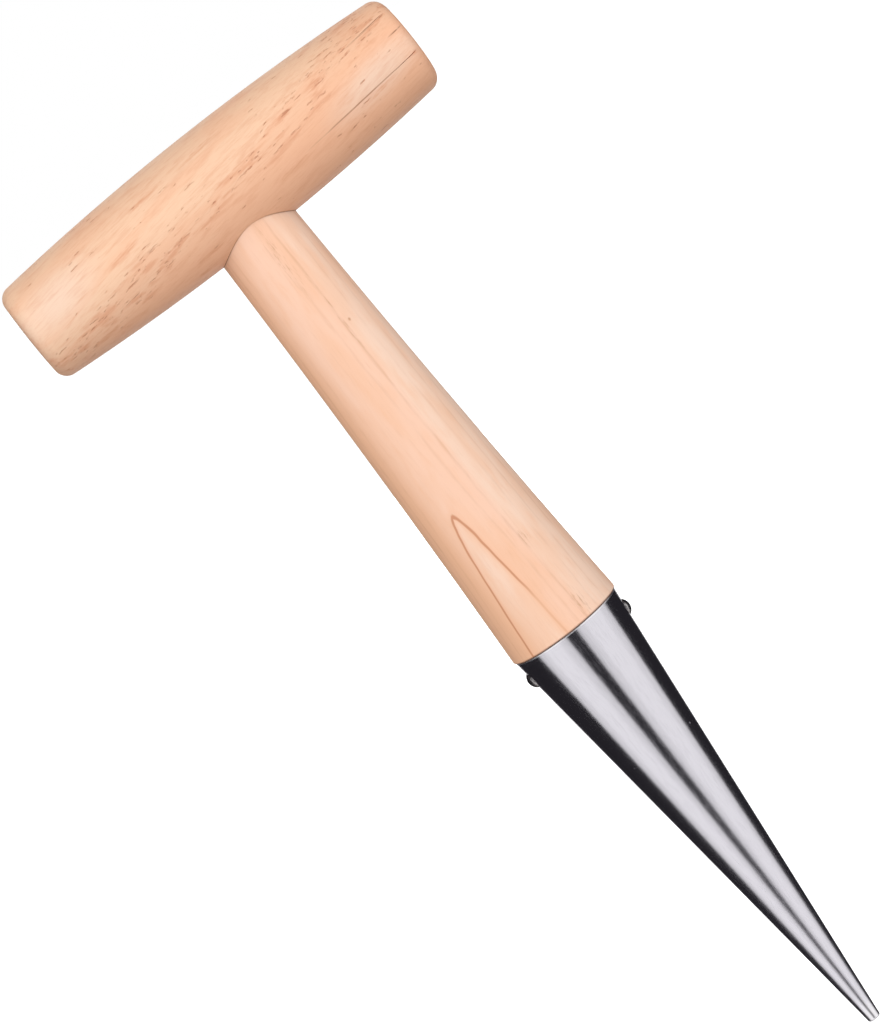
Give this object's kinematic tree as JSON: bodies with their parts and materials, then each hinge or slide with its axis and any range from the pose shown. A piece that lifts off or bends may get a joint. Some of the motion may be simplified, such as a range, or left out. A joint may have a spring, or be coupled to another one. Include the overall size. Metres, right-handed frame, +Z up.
{
  "type": "garden dibber",
  "caption": "T-handled garden dibber: a turned wooden cross handle on a flared wooden shaft, with a long pointed steel cone for making planting holes.",
  "frame": {"origin": "centre of the small flat end of the tip, where the point first meets the soil", "axes": "+Z up the middle of the shaft from the tip to the cross handle, +X along the cross handle, +Y to the back"},
  "size_m": [0.1188, 0.0316, 0.28],
  "materials": {
    "handle_wood": "satin",
    "shaft_wood": "satin",
    "point_steel": "polished",
    "nail_steel": "satin"
  },
  "bodies": {
    "root": {"cross_handle": "handle_wood", "shaft": "shaft_wood", "steel_point": "point_steel", "nail_right": "nail_steel", "nail_left": "nail_steel"}
  },
  "joints": []
}
